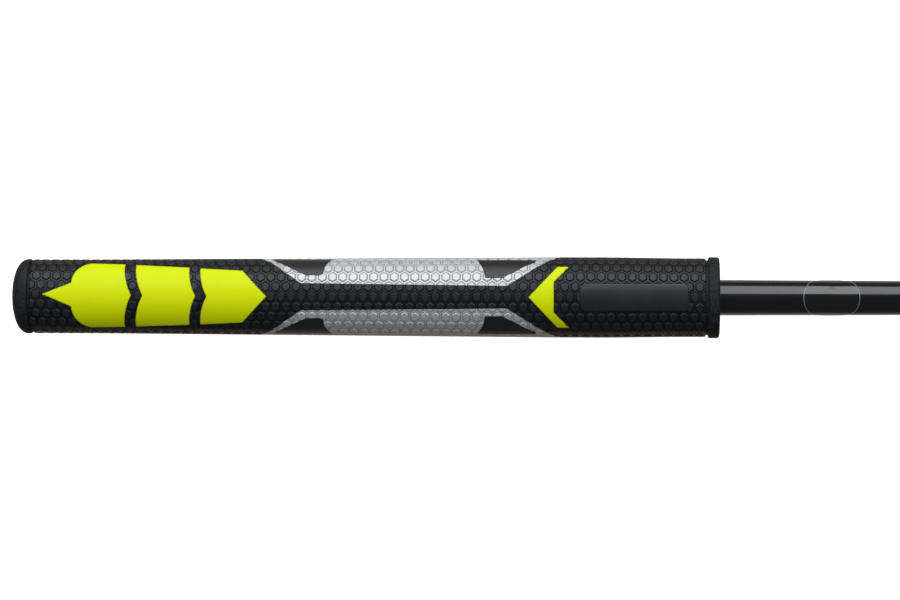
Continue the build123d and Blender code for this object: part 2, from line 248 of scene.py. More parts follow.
# --- outlines and fields
def arc_through(first: Point, middle: Point, last: Point, steps: int = 14) -> Array:
    """Points on the circle through three points, from first to last.

    The centre solves the two equations of equal distance; the angles run the way that
    passes the middle point.

    Args:
        first: start of the arc.
        middle: a point that it passes.
        last: its end.
        steps: number of pieces.

    Returns:
        Rows of x and y.
    """
    a, b, c = (np.array(p, float) for p in (first, middle, last))
    system = 2 * np.array([b - a, c - a])
    centre = np.linalg.solve(system, [b @ b - a @ a, c @ c - a @ a])
    turn = [math.atan2(*(p - centre)[::-1]) for p in (a, b, c)]
    cross = (b - a)[0] * (c - a)[1] - (b - a)[1] * (c - a)[0]
    sweep = (turn[2] - turn[0]) % math.tau
    if cross < 0:
        sweep -= math.tau
    angles = turn[0] + np.linspace(0, sweep, steps + 1)
    radius = np.linalg.norm(a - centre)
    return centre + radius * np.column_stack([np.cos(angles), np.sin(angles)])


def inside_outline(outline: Array, x: Array, y: Array) -> Array:
    """Signed distance to a closed outline, positive inside.

    The distance is the least over all edges; the sign comes from counting edges that a ray
    towards +X crosses.

    Args:
        outline: rows of x and y.
        x: places to test.
        y: places to test.

    Returns:
        Signed distances.
    """
    distance = np.full(np.shape(x), np.inf)
    inside = np.zeros(np.shape(x), bool)
    for (x0, y0), (x1, y1) in zip(outline, np.roll(outline, -1, axis=0)):
        dx, dy = x1 - x0, y1 - y0
        if dx == 0 and dy == 0:
            continue
        along = np.clip(((x - x0) * dx + (y - y0) * dy) / (dx * dx + dy * dy), 0, 1)
        distance = np.minimum(distance, np.hypot(x - x0 - along * dx, y - y0 - along * dy))
        if dy != 0:
            inside ^= ((y0 > y) != (y1 > y)) & (x < x0 + (y - y0) * dx / dy)
    return np.where(inside, distance, -distance)


def mirrored(half: Sequence[Point]) -> Array:
    """Close half an outline with its mirror image.

    Args:
        half: points from the middle line out to +Y and back.

    Returns:
        Rows of x and y.
    """
    upper = np.array(half, float)
    lower = upper[::-1] * [1, -1]
    off_middle = np.abs(lower[:, 1]) > NEARLY_ZERO
    return np.concatenate([upper, lower[off_middle]])


# --- patches: meshes in the grip's coordinates
@dataclass
class Patch:
    """Triangles on the grip, in the grip's own coordinates.

    Args:
        points: rows of place along, arc length round and height.
        faces: rows of three point numbers, anticlockwise seen from outside.
    """

    points: Array
    faces: Array

    def used(self, faces: Array) -> "Patch":
        """A patch of only those faces and the points that they use."""
        kept, numbers = np.unique(faces, return_inverse=True)
        return Patch(self.points[kept], numbers.reshape(-1, 3))

    def cut(self, value: Array) -> "Patch":
        """Cut every triangle that the field's zero line crosses, and keep all the pieces.

        A triangle has one corner on its own side; the two edges from it are cut where the
        field, taken as linear along them, is zero.

        Args:
            value: the field at each point.

        Returns:
            The patch with its new points and faces.
        """
        value = np.where(np.abs(value) < NEARLY_ZERO, NEARLY_ZERO, value)
        side = value[self.faces] > 0
        count = side.sum(1)
        crossed = (count == 1) | (count == 2)
        if not crossed.any():
            return self
        side, faces = side[crossed], self.faces[crossed]
        lone = np.where(count[crossed] == 1, side.argmax(1), side.argmin(1))
        turned = np.take_along_axis(faces, (lone[:, None] + np.arange(3)) % 3, 1)
        edges = np.sort(np.concatenate([turned[:, [0, 1]], turned[:, [0, 2]]]), 1)
        edges, numbers = np.unique(edges, axis=0, return_inverse=True)
        start, end = edges.T
        share = (value[start] / (value[start] - value[end]))[:, None]
        made = self.points[start] * (1 - share) + self.points[end] * share
        near, far = len(self.points) + numbers.reshape(2, -1)
        tip, left, right = turned.T
        pieces = [
            self.faces[~crossed],
            np.column_stack([tip, near, far]),
            np.column_stack([near, left, right]),
            np.column_stack([near, right, far]),
        ]
        return Patch(np.concatenate([self.points, made]), np.concatenate(pieces))

    def carve(self, region: Field) -> tuple["Patch", "Patch"]:
        """Divide the patch along a region's edge.

        Args:
            region: signed field of place along and arc length round, positive inside.

        Returns:
            The part inside and the part outside.
        """
        whole = self.cut(region(self.points[:, 0], self.points[:, 1]))
        middle = whole.points[whole.faces].mean(1)
        inside = region(middle[:, 0], middle[:, 1]) > 0
        return whole.used(whole.faces[inside]), whole.used(whole.faces[~inside])

    def welded(self) -> "Patch":
        """Make points that coincide one.

        Returns:
            The patch without faces that vanish thereby.
        """
        _, first, numbers = np.unique(
            np.round(self.points, 4), axis=0, return_index=True, return_inverse=True
        )
        faces = numbers.reshape(-1)[self.faces]
        proper = (faces != np.roll(faces, 1, axis=1)).all(1)
        return Patch(self.points[first], faces[proper])

    def rim(self) -> Array:
        """Find the edges with a face on one side only.

        Returns:
            Rows of two point numbers, in the order in which that face has them.
        """
        edges = np.concatenate([self.faces[:, [0, 1]], self.faces[:, [1, 2]], self.faces[:, [2, 0]]])
        size = len(self.points)
        forward, back = edges[:, 0] * size + edges[:, 1], edges[:, 1] * size + edges[:, 0]
        return edges[~np.isin(forward, back)]

    def closed(self, floor: float) -> "Patch":
        """Make a solid of the patch, the same patch turned over underneath, and walls between.

        Args:
            floor: height of the underside.

        Returns:
            The solid's surface.
        """
        size = len(self.points)
        under = self.points.copy()
        under[:, 2] = floor
        start, end = self.rim().T
        walls = [
            np.column_stack([end, start, start + size]),
            np.column_stack([end, start + size, end + size]),
        ]
        faces = np.concatenate([self.faces, self.faces[:, ::-1] + size, *walls])
        return Patch(np.concatenate([self.points, under]), faces)


def grid_patch(x: Array, around: Array) -> Patch:
    """A level patch on a grid.

    Args:
        x: places along the stick.
        around: arc lengths round.

    Returns:
        The patch, with two triangles in each cell of the grid.
    """
    columns, rows = len(x), len(around)
    places = np.stack(np.meshgrid(x, around, indexing="ij"), -1).reshape(-1, 2)
    corner = (np.arange(columns - 1)[:, None] * rows + np.arange(rows - 1)).reshape(-1)
    faces = np.concatenate([
        np.column_stack([corner, corner + rows, corner + rows + 1]),
        np.column_stack([corner, corner + rows + 1, corner + 1]),
    ])
    return Patch(np.column_stack([places, np.zeros(len(places))]), faces)


def disc_faces(sides: int, rings: int) -> Array:
    """Faces of rings of points round a middle point: a fan in the first, strips between the rest.

    Args:
        sides: points in each ring.
        rings: number of rings; the middle point comes first, then ring after ring.

    Returns:
        Rows of three point numbers.
    """
    here = np.arange(sides)
    after = (here + 1) % sides
    faces = [np.column_stack([np.zeros(sides, int), 1 + here, 1 + after])]
    for ring in range(rings - 1):
        inner, outer = 1 + ring * sides, 1 + (ring + 1) * sides
        faces.append(np.column_stack([inner + here, outer + here, outer + after]))
        faces.append(np.column_stack([inner + here, outer + after, inner + after]))
    return np.concatenate(faces)


# --- meshes
def mesh_object(
    name: str, points: Array, faces: Array, crease: float = 32.0, **stored: Array
) -> Piece:
    """Write points and triangles to a new object that rides on the stick.

    Args:
        name: the piece's name.
        points: rows of x, y and z in millimetres.
        faces: rows of three point numbers.
        crease: edges that turn more than this, in degrees, are left sharp.
        stored: attributes to keep, each one number for each point.

    Returns:
        The object.
    """
    mesh = bpy.data.meshes.new(name)
    mesh.vertices.add(len(points))
    mesh.vertices.foreach_set("co", (np.asarray(points) * MM).astype(np.float32).reshape(-1))
    mesh.loops.add(faces.size)
    mesh.loops.foreach_set("vertex_index", faces.astype(np.int32).reshape(-1))
    mesh.polygons.add(len(faces))
    mesh.polygons.foreach_set("loop_start", np.arange(0, faces.size, 3, dtype=np.int32))
    mesh.update(calc_edges=True)
    mesh.validate()
    mesh.polygons.foreach_set("use_smooth", np.ones(len(mesh.polygons), bool))
    mesh.set_sharp_from_angle(angle=math.radians(crease))
    for key, values in stored.items():
        attribute = mesh.attributes.new(key, "FLOAT", "POINT")
        attribute.data.foreach_set("value", values.astype(np.float32))
    piece = bpy.data.objects.new(name, mesh)
    bpy.context.scene.collection.objects.link(piece)
    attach(piece, BODY)
    return piece


def lathe(name: str, profile: Array, ratio: Array | float = 1.0, steps: int = 96) -> Piece:
    """A turned piece, squashed in depth by ratio.

    A profile point (x, r) goes to (x, r sin t, r ratio cos t) for t round a full turn. The
    profile starts and ends on the axis, where its points become one pole each.

    Args:
        name: the piece's name.
        profile: rows of place along and radius, from pole to pole, in the order in which the
            outside is on the left.
        ratio: depth divided by width, one for the whole piece or one for each profile point.
        steps: columns round the turn.

    Returns:
        The object.
    """
    profile = np.asarray(profile, float)
    turn = np.arange(steps) * math.tau / steps
    body, squash = profile[1:-1], np.broadcast_to(ratio, len(profile))[1:-1, None]
    rings = np.stack([
        np.repeat(body[:, :1], steps, 1),
        body[:, 1:] * np.sin(turn),
        body[:, 1:] * squash * np.cos(turn),
    ], -1).reshape(-1, 3)
    points = np.concatenate([[(profile[0, 0], 0, 0)], rings, [(profile[-1, 0], 0, 0)]])
    last = len(points) - 1
    rim = np.arange(last - steps, last)
    end = np.column_stack([np.full(steps, last), np.roll(rim, -1), rim])
    faces = np.concatenate([disc_faces(steps, len(body)), end])
    return mesh_object(name, points, faces[:, ::-1])


def rounded(profile: Sequence[Point], radii: dict[int, float], steps: int = 6) -> Array:
    """A profile with arcs at some of its corners.

    At a corner of half angle h the arc of radius r starts r / tan h before it, and its centre
    is r / sin h away.

    Args:
        profile: rows of place along and radius.
        radii: corner number to arc radius.
        steps: pieces in each arc.

    Returns:
        The rows of the new profile.
    """
    points = np.array(profile, float)
    share = np.linspace(0, 1, steps + 1)[:, None]
    rows: list[Array] = []
    for number, corner in enumerate(points):
        if number not in radii:
            rows.append(corner[None])
            continue
        radius = radii[number]
        before, after = points[number - 1] - corner, points[number + 1] - corner
        before, after = before / np.linalg.norm(before), after / np.linalg.norm(after)
        half = math.acos(float(np.clip(before @ after, -1, 1))) / 2
        reach = radius / math.tan(half)
        middle = (before + after) / np.linalg.norm(before + after)
        centre = corner + middle * radius / math.sin(half)
        spokes = corner + before * reach * (1 - share) + after * reach * share - centre
        rows.append(centre + spokes / np.linalg.norm(spokes, axis=1)[:, None] * radius)
    return np.concatenate(rows)


# --- shader maths
class Expression:
    """A shader socket that takes part in Python arithmetic through Math nodes.

    Args:
        shader: the nodes that the socket belongs to.
        socket: an output socket, or None for a node without outputs.
    """

    def __init__(self, shader: "Shader", socket: bpy.types.NodeSocket | None) -> None:
        """Keep the socket and its shader."""
        self.shader, self.socket = shader, socket

    def _maths(self, operation: str, *values: "Operand") -> "Expression":
        """A Math node on these values."""
        return self.shader.node("ShaderNodeMath", {"operation": operation}, dict(enumerate(values)))

    def __add__(self, other: "Operand") -> "Expression":
        """Sum."""
        return self._maths("ADD", self, other)

    __radd__ = __add__

    def __sub__(self, other: "Operand") -> "Expression":
        """Difference."""
        return self._maths("SUBTRACT", self, other)

    def __rsub__(self, other: "Operand") -> "Expression":
        """Difference from a number."""
        return self._maths("SUBTRACT", other, self)

    def __mul__(self, other: "Operand") -> "Expression":
        """Product."""
        return self._maths("MULTIPLY", self, other)

    def swing(self, size: float) -> "Expression":
        """Variation about nothing: minus half of size at 0 and plus half of it at 1."""
        return (self - 0.5) * size

    def rise(self, start: float, end: float) -> "Expression":
        """A smooth step from 0 at start to 1 at end.

        Args:
            start: where it begins, which may be above end.
            end: where it is complete.

        Returns:
            The step.
        """
        falls = start > end
        settings = {"interpolation_type": "SMOOTHSTEP"}
        values = {
            "Value": self, "From Min": min(start, end), "From Max": max(start, end),
            "To Min": float(falls), "To Max": float(not falls),
        }
        return self.shader.node("ShaderNodeMapRange", settings, values)


Operand = Expression | float
Colour = tuple[float, float, float]
Mixed = Colour | Expression
Sockets = dict[str | int, object]
MIX_COLOURS = (6, 7)
MIX_RESULT = 2


class Shader:
    """The nodes of a material, or of the air round the stick, made with expressions."""

    def __init__(self, owner: Material | bpy.types.World) -> None:
        """Start with no nodes.

        Args:
            owner: what the nodes belong to.
        """
        self.owner = owner
        owner.use_nodes = True
        self.tree = owner.node_tree
        self.tree.nodes.clear()

    @classmethod
    def named(cls, name: str) -> "Shader":
        """A new material's nodes."""
        return cls(bpy.data.materials.new(name))

    def node(
        self,
        kind: str,
        settings: dict[str, object] | None = None,
        values: Sockets | None = None,
        output: str | int = 0,
    ) -> Expression:
        """Add a node.

        Args:
            kind: the node's type.
            settings: properties, set before its sockets.
            values: numbers, colours or expressions for its input sockets.
            output: which output to give back.

        Returns:
            That output.
        """
        made = self.tree.nodes.new(kind)
        for key, value in (settings or {}).items():
            setattr(made, key, value)
        for key, value in (values or {}).items():
            if isinstance(value, Expression):
                self.tree.links.new(value.socket, made.inputs[key])
            else:
                made.inputs[key].default_value = value
        return Expression(self, made.outputs[output] if made.outputs else None)

    def stored(self, name: str) -> Expression:
        """The piece's own attribute of that name."""
        return self.node("ShaderNodeAttribute", {"attribute_name": name}, output="Fac")

    def noise(self, size: float, detail: float = 2.0, stretch: Vector | None = None) -> Expression:
        """Noise on Object coordinates, from 0 to 1.

        Args:
            size: width of a blob in millimetres.
            detail: octaves added.
            stretch: scale of the coordinates along each axis first.

        Returns:
            The noise.
        """
        place = self.node("ShaderNodeTexCoord", output="Object")
        if stretch is not None:
            place = self.node("ShaderNodeMapping", values={"Vector": place, "Scale": stretch})
        values = {"Vector": place, "Scale": 1 / (size * MM), "Detail": detail, "Roughness": 0.55}
        return self.node("ShaderNodeTexNoise", values=values)

    def blend(self, share: Operand, first: Mixed, second: Mixed) -> Expression:
        """Mix two colours, on the Mix node's sockets for colours.

        Args:
            share: share of the second colour.
            first: a colour.
            second: a colour.

        Returns:
            The colour between them.
        """
        colours = (mixed if isinstance(mixed, Expression) else (*mixed, 1.0) for mixed in (first, second))
        values = {0: share, **dict(zip(MIX_COLOURS, colours))}
        return self.node("ShaderNodeMix", {"data_type": "RGBA"}, values, MIX_RESULT)

    def bump(self, height: Expression, depth: float, strength: float = 1.0) -> Expression:
        """A normal bent by a height from 0 to 1 that stands for depth millimetres."""
        values = {"Strength": strength, "Distance": depth * MM, "Height": height}
        return self.node("ShaderNodeBump", values=values)

    def finish(self, values: Sockets) -> Material:
        """Close the material with one Principled shader.

        Args:
            values: what goes into the shader's sockets.

        Returns:
            The material.
        """
        surface = self.node("ShaderNodeBsdfPrincipled", values=values)
        self.node("ShaderNodeOutputMaterial", values={"Surface": surface})
        return self.owner


# --- finishes
FLAKE: Colour = (0.95, 0.96, 0.98)


def paler(colour: Colour, factor: float, lift: float = 0.0) -> Colour:
    """The colour times factor, plus lift in each part, darker if factor is below 1."""
    return tuple(factor * part + lift for part in colour)


@dataclass(frozen=True)
class StuddedSkin:
    """Polyurethane with hexagonal studs, whose colour darkens into the grooves.

    It has colours for the tops of the studs, the land between them and the grooves; the groove
    colour, and on the black skin the darker land colour, are painted shade in the recesses. flake
    is the brightness of the flakes in paint on it.
    """

    name: str
    top: Colour
    land: Colour
    groove: Colour
    metallic: float
    roughness: float
    gloss: float = 0.5
    flake: float = 0.0

    def build(self) -> Material:
        """Make the material; the piece's relief attribute is its height in millimetres.

        Returns:
            The material.
        """
        shader = Shader.named(self.name)
        relief = shader.stored("relief")
        scuff = shader.noise(2.6, 3.0)
        grain = shader.noise(0.16)
        # painted shade: the colour darkens with depth, from the studs' tops over the land into the grooves
        colour = shader.blend(relief.rise(-0.42, -0.29), self.groove, self.land)
        colour = shader.blend(relief.rise(-0.24, -0.08), colour, self.top)
        if self.flake:
            flakes = shader.noise(0.12, 1.0).rise(0.45, 0.8)
            colour = shader.blend(flakes * self.flake, colour, FLAKE)
        colour = shader.blend(scuff.rise(0.5, 0.85) * 0.35, colour, paler(self.top, 1.35, 0.004))
        rough = self.roughness + scuff.swing(0.16) + grain.swing(0.1)
        return shader.finish({
            "Base Color": colour,
            "Metallic": self.metallic,
            "Roughness": rough,
            "Specular IOR Level": self.gloss,
            "Normal": shader.bump(grain, 0.02, 0.5),
        })


@dataclass(frozen=True)
class SmoothSkin:
    """Smooth moulded polyurethane, satin, with a faint orange-peel and handling marks.

    Its shade is the colour of slightly darker patches, and peel a depth in millimetres. A darker
    copy of the shade along the piece's edge is painted shade where the panel meets the skin.
    """

    name: str
    colour: Colour
    shade: Colour
    roughness: float
    gloss: float = 0.5
    peel: float = 0.012

    def build(self) -> Material:
        """Make the material; the edge attribute is the distance from the piece's edge.

        Returns:
            The material.
        """
        shader = Shader.named(self.name)
        cloud = shader.noise(9.0, 3.0)
        peel = shader.noise(0.55)
        grain = shader.noise(0.12)
        edge = shader.stored("edge").rise(0.0, 0.5)
        colour = shader.blend(cloud.rise(0.35, 0.7) * 0.6, self.colour, self.shade)
        # painted shade: the colour darkens over the last half millimetre in from the piece's edge
        colour = shader.blend((1 - edge) * 0.45, colour, paler(self.shade, 0.55))
        height = peel * 0.6 + grain * 0.4
        return shader.finish({
            "Base Color": colour,
            "Roughness": self.roughness + cloud.swing(0.14) + grain.swing(0.08),
            "Specular IOR Level": self.gloss,
            "Normal": shader.bump(height, self.peel, 0.6),
        })


@dataclass(frozen=True)
class MouldedRubber:
    """Matt rubber from a spark-eroded mould, pebbled and greyer on its high spots.

    The grain's size and depth are in millimetres.
    """

    name: str
    colour: Colour
    worn: Colour
    grain: float = 0.45
    depth: float = 0.05

    def build(self) -> Material:
        """Make the material.

        Returns:
            The material.
        """
        shader = Shader.named(self.name)
        pebbles = shader.noise(self.grain, 2.5)
        cloud = shader.noise(6.0)
        colour = shader.blend(pebbles.rise(0.48, 0.62) * 0.7, self.colour, self.worn)
        colour = shader.blend(cloud.rise(0.4, 0.8) * 0.3, colour, self.worn)
        return shader.finish({
            "Base Color": colour,
            "Roughness": 0.66 + pebbles.swing(0.2),
            "Specular IOR Level": 0.2,
            "Normal": shader.bump(pebbles, self.depth, 0.8),
        })


@dataclass(frozen=True)
class Lacquer:
    """Gloss lacquer on a drawn tube: nearly black, with a long faint waviness and dust nibs."""

    name: str
    colour: Colour
    roughness: float

    def build(self) -> Material:
        """Make the material.

        Returns:
            The material.
        """
        shader = Shader.named(self.name)
        draw = shader.noise(5.0, 2.0, Vector((0.12, 1.0, 1.0)))
        peel = shader.noise(1.1)
        smear = shader.noise(22.0, 3.0)
        lift = paler(self.colour, 1.6, 0.002)
        return shader.finish({
            "Base Color": shader.blend(draw.rise(0.4, 0.8) * 0.5, self.colour, lift),
            "Roughness": self.roughness + smear.swing(0.08),
            "Coat Weight": 0.6 + smear.swing(0.2),
            "Coat Roughness": 0.06,
            "Normal": shader.bump(peel * 0.5 + draw * 0.5, 0.004, 0.5),
        })


@dataclass(frozen=True)
class ClearFilm:
    """A clear gloss film on black lacquer, bare but for a fine pale line round its edge."""

    name: str
    body: Colour
    line: Colour

    def build(self) -> Material:
        """Make the material; the edge attribute is the distance in from the rim.

        Returns:
            The material.
        """
        shader = Shader.named(self.name)
        edge = shader.stored("edge")
        line = edge.rise(0.34, 0.26) * edge.rise(0.04, 0.1)
        haze = shader.noise(3.0)
        return shader.finish({
            "Base Color": shader.blend(line, self.body, self.line),
            "Roughness": 0.16 + haze.swing(0.08) + line * 0.2,
            "Coat Weight": 1.0 - line * 0.4,
            "Coat Roughness": 0.03,
        })


@dataclass(frozen=True)
class OxideSteel:
    """Turned steel, black-oxided, with tool marks round the bar and bright wear.

    The feed is the distance between tool marks in millimetres.
    """

    name: str
    colour: Colour
    bright: Colour
    feed: float = 0.25

    def build(self) -> Material:
        """Make the material.

        Returns:
            The material.
        """
        shader = Shader.named(self.name)
        marks = shader.noise(self.feed, 1.0, Vector((1.0, 0.05, 0.05)))
        wear = shader.noise(3.5, 3.0)
        colour = shader.blend(marks.rise(0.45, 0.75) * 0.35, self.colour, self.bright)
        colour = shader.blend(wear.rise(0.62, 0.8) * 0.3, colour, self.bright)
        return shader.finish({
            "Base Color": colour,
            "Metallic": 0.9,
            "Roughness": 0.38 + wear.swing(0.2),
            "Normal": shader.bump(marks, 0.012, 0.6),
        })


@dataclass(frozen=True)
class Fibre:
    """Felt, foam or paper tape inside the grip: matt, and mottled in blobs of size millimetres."""

    name: str
    light: Colour
    dark: Colour
    size: float

    def build(self) -> Material:
        """Make the material.

        Returns:
            The material.
        """
        shader = Shader.named(self.name)
        mottle = shader.noise(self.size, 4.0)
        return shader.finish({
            "Base Color": shader.blend(mottle.rise(0.35, 0.7), self.dark, self.light),
            "Roughness": 0.85 + mottle.swing(0.2),
            "Normal": shader.bump(mottle, 0.1, 0.5),
        })


class Finish(Enum):
    """The stick's finishes."""

    # SKIN's land and groove colours and SILVER's groove colour are painted shade in the recesses
    SKIN = StuddedSkin(
        "black_studded_skin", (0.009, 0.0112, 0.013), (0.006, 0.007, 0.008), (0.003, 0.0034, 0.0038),
        metallic=0.0, roughness=0.42, gloss=0.4,
    )
    SILVER = StuddedSkin(
        "silver_studded_paint", (0.51, 0.52, 0.53), (0.54, 0.55, 0.56), (0.27, 0.28, 0.29),
        metallic=0.5, roughness=0.53, flake=0.2,
    )
    LIME = SmoothSkin("lime_inlay", (0.59, 0.69, 0.0), (0.57, 0.67, 0.0), 0.4, gloss=0.12)
    WINDOW = SmoothSkin("smooth_black_window", (0.010, 0.011, 0.012), (0.013, 0.014, 0.0155), 0.4)
    LABEL = SmoothSkin("bare_label_pad", (0.009, 0.0105, 0.012), (0.013, 0.015, 0.017), 0.4)
    SEAM = SmoothSkin("seam_strip_skin", (0.012, 0.0135, 0.015), (0.016, 0.018, 0.020), 0.44)
    RUBBER = MouldedRubber("moulded_black_rubber", (0.008, 0.0095, 0.011), (0.023, 0.027, 0.030), 0.8, 0.14)
    BUMPER = MouldedRubber("bumper_rubber", (0.012, 0.013, 0.0145), (0.024, 0.026, 0.028), 0.6)
    SHAFT = Lacquer("black_shaft_lacquer", (0.003, 0.0033, 0.004), 0.22)
    FERRULE = Lacquer("ferrule_gloss", (0.006, 0.006, 0.007), 0.18)
    FILM = ClearFilm("clear_decal_film", (0.004, 0.0043, 0.005), (0.2, 0.21, 0.22))
    STEEL = OxideSteel("black_oxide_steel", (0.035, 0.036, 0.039), (0.22, 0.22, 0.225))
    FELT = Fibre("grey_felt", (0.36, 0.36, 0.35), (0.24, 0.24, 0.235), 1.2)
    FOAM = Fibre("black_foam", (0.09, 0.09, 0.095), (0.05, 0.05, 0.055), 0.9)
    TAPE = Fibre("paper_tape", (0.78, 0.74, 0.62), (0.68, 0.63, 0.50), 2.5)


@lru_cache(maxsize=None)
def material_of(finish: Finish) -> Material:
    """The finish's material, made once."""
    return finish.value.build()


@dataclass
class Assembly:
    """Pieces of the stick that are built together.

    Args:
        pieces: those built so far.
    """

    pieces: list[Piece] = field(default_factory=list)

    def add(self, piece: Piece, finish: Finish, slot: str, node: str) -> None:
        """Give a piece its finish and hide the CAD node that it stands for.

        Args:
            piece: the piece.
            finish: its finish.
            slot: the record's material slot; not used.
            node: the CAD node that it replaces.
        """
        piece.data.materials.append(material_of(finish))
        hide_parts(node)
        self.pieces.append(piece)
        LOG.info("%s: %d faces, %s", piece.name, len(piece.data.polygons), finish.name.lower())


# --- the embossed skin
UNIT_HEXAGON = np.array([(0, -1), (1, -0.5), (1, 0.5), (0, 1), (-1, 0.5), (-1, -0.5)])
BEHIND = 0.1  # how far below zero a field of the front stays on the back


@dataclass(frozen=True)
class StudPattern:
    """Hexagonal studs in offset rows, each in a groove, with a net of flat land between.

    A stud's cell is a hexagon with two corners across the stick, half a pitch and two thirds
    of a row step from its middle. Its rings are that hexagon scaled about the middle, each
    with its scale and height, from the top outwards. One stud of the middle row is at phase.
    """

    rows: int = 21
    pitch: float = 3.86
    phase: float = 10.5
    rings: tuple[tuple[float, float], ...] = (
        (0.61, 0.0),
        (0.70, -0.13),
        (0.81, -0.45),
        (0.85, -0.45),
        (0.90, -0.26),
        (1.0, -0.24),
    )

    def patch(self, form: OvalForm, seam: float) -> Patch:
        """Studs over the whole grip, past both ends.

        Args:
            form: the grip's form.
            seam: width of the smooth strip along the back.

        Returns:
            One welded patch.
        """
        step = (form.girth - seam) / self.rows
        hexagon = UNIT_HEXAGON * [self.pitch / 2, step * 2 / 3]
        sides = len(hexagon)
        rings = [np.column_stack([hexagon * scale, np.full(sides, height)]) for scale, height in self.rings]
        cell = np.concatenate([np.zeros((1, 3)), *rings])
        first = math.floor((form.start - self.phase) / self.pitch) - 1
        last = math.ceil((form.end - self.phase) / self.pitch) + 1
        half_rows = self.rows // 2 + 1
        grid = np.meshgrid(np.arange(-half_rows, half_rows + 1), np.arange(first, last + 1), indexing="ij")
        row, column = (numbers.reshape(-1) for numbers in grid)
        places = self.phase + self.pitch * (column + 0.5 * (row % 2))
        middles = np.column_stack([places, row * step, np.zeros(len(row))])
        points = (middles[:, None, :] + cell).reshape(-1, 3)
        offsets = (np.arange(len(middles)) * len(cell))[:, None, None]
        return Patch(points, (disc_faces(sides, len(rings)) + offsets).reshape(-1, 3)).welded()


def front_field(form: OvalForm, outline: Array) -> Field:
    """Signed distance to an outline drawn on the front, seen square on.

    Args:
        form: the grip's form.
        outline: rows of x and y.

    Returns:
        The field, which is negative all over the back.
    """

    def distance_inside(x: Array, around: Array) -> Array:
        """Distance inside the outline, on the front only."""
        distance = inside_outline(outline, x, form.side(x, around))
        return np.where(np.abs(around) < form.girth / 4, distance, -np.abs(distance) - BEHIND)

    return distance_inside


def side_field(form: OvalForm, outline: Array, side: int) -> Field:
    """Signed distance to an outline on the side that is 1 for +Y, the same on front and back."""
    return lambda x, around: inside_outline(outline, x, side * form.side(x, around))


@dataclass(frozen=True)
class Inlay:
    """A smooth panel let into the skin, with an outline drawn square on from the front.

    Its face is at height top, and edges are the distances in from the edge and the drops below
    the face that round it. Where the skin's hole for it goes through to the back as well, side
    is 1 for +Y or -1 for -Y. The grid is carved after it is laid out past the outline by margin.
    """

    name: str
    node: str
    slot: str
    finish: Finish
    outline: Array
    top: float = 0.0
    side: int = 0
    turned: bool = False
    edges: tuple[tuple[float, float], ...] = ((0.0, 0.16), (0.1, 0.05), (0.26, 0.0))
    margin: float = 0.5
    grid: float = 0.55

    def hole(self, form: OvalForm) -> Field:
        """What the panel takes out of the skin."""
        both_faces = side_field(form, self.outline * [1, self.side], self.side)
        return both_faces if self.side else front_field(form, self.outline)

    def build(self, form: OvalForm, floor: float) -> Piece:
        """Mesh the panel: a grid carved by the outline, with level lines for its rounded edge.

        Args:
            form: the grip's form.
            floor: height of its underside.

        Returns:
            The piece.
        """
        low, high = self.outline.min(0) - self.margin, self.outline.max(0) + self.margin
        quarter = np.linspace(-form.girth / 4, form.girth / 4, 400)
        side = form.side((low[0] + high[0]) / 2, quarter)
        bottom, top = np.interp([low[1], high[1]], side, quarter)
        columns, rows = (max(2, math.ceil(reach / self.grid)) for reach in (high[0] - low[0], top - bottom))
        whole = grid_patch(np.linspace(low[0], high[0], columns + 1), np.linspace(bottom, top, rows + 1))
        region = front_field(form, self.outline)
        patch, _ = whole.carve(region)
        for distance, _ in self.edges[1:]:
            patch = patch.cut(region(*patch.points[:, :2].T) - distance)
        distances, drops = np.array(self.edges).T
        patch.points[:, 2] = self.top - np.interp(region(*patch.points[:, :2].T), distances, drops)
        solid = patch.welded().closed(floor)
        edge = np.maximum(region(*solid.points[:, :2].T), 0.0)
        if self.turned:
            solid.points[:, 1] = form.girth / 2 - solid.points[:, 1]
            solid.faces = solid.faces[:, ::-1]
        return mesh_object(self.name, form.place(solid.points), solid.faces, edge=edge)


# --- the grip
Stroke = Sequence[tuple[float, float]]
BRACKET_MIDDLE = (0.28, 0.48)


def bracket(start: float, half: float, apex: float) -> Stroke:
    """The arc of a curly-bracket edge, from its corner at +Y to its apex on the middle line."""
    along, out = BRACKET_MIDDLE
    return (start, half), (start + along * (apex - start), out * half), (apex, 0.0)


# Halves of the lime panels, in shares of the length and of the half width of their boxes.
LIME_STROKES: dict[str, tuple[Stroke, ...]] = {
    "nib": (((0, 0),), ((0.324, 0.373), (0.386, 0.80), (0.542, 1)), bracket(0.911, 0.975, 1)),
    "middle": (bracket(0, 1, 0.134)[::-1], bracket(0.883, 0.932, 1)),
    "arrow": (bracket(0, 1, 0.109)[::-1], ((0.632, 0.925), (1, 0))),
    "chevron": (((0, 0), (0.711, 1)), ((1, 1), (0.625, 0.496))),
}
# The windows at +Y, in shares of the length and, from the inner edge out, of the width.
WINDOW_STROKES: dict[str, tuple[Stroke, ...]] = {
    "butt": (((-0.06, 1), (0.590, 0)), ((0.890, 0), (0.920, 0.616), (1.02, 1))),
    "mouth": (((0, 1), (0.109, 0.590), (0.155, 0)), ((0.429, 0), (1, 1))),
}


def drawn(strokes: Sequence[Stroke], place: Callable[[float, float], Point]) -> Array:
    """Strokes put together: three points stand for the arc through them, others for themselves.

    Args:
        strokes: points in shares of a box.
        place: gives x and y for such a point.

    Returns:
        Rows of x and y.
    """
    placed = [[place(*point) for point in stroke] for stroke in strokes]
    return np.concatenate([arc_through(*points) if len(points) == 3 else points for points in placed])


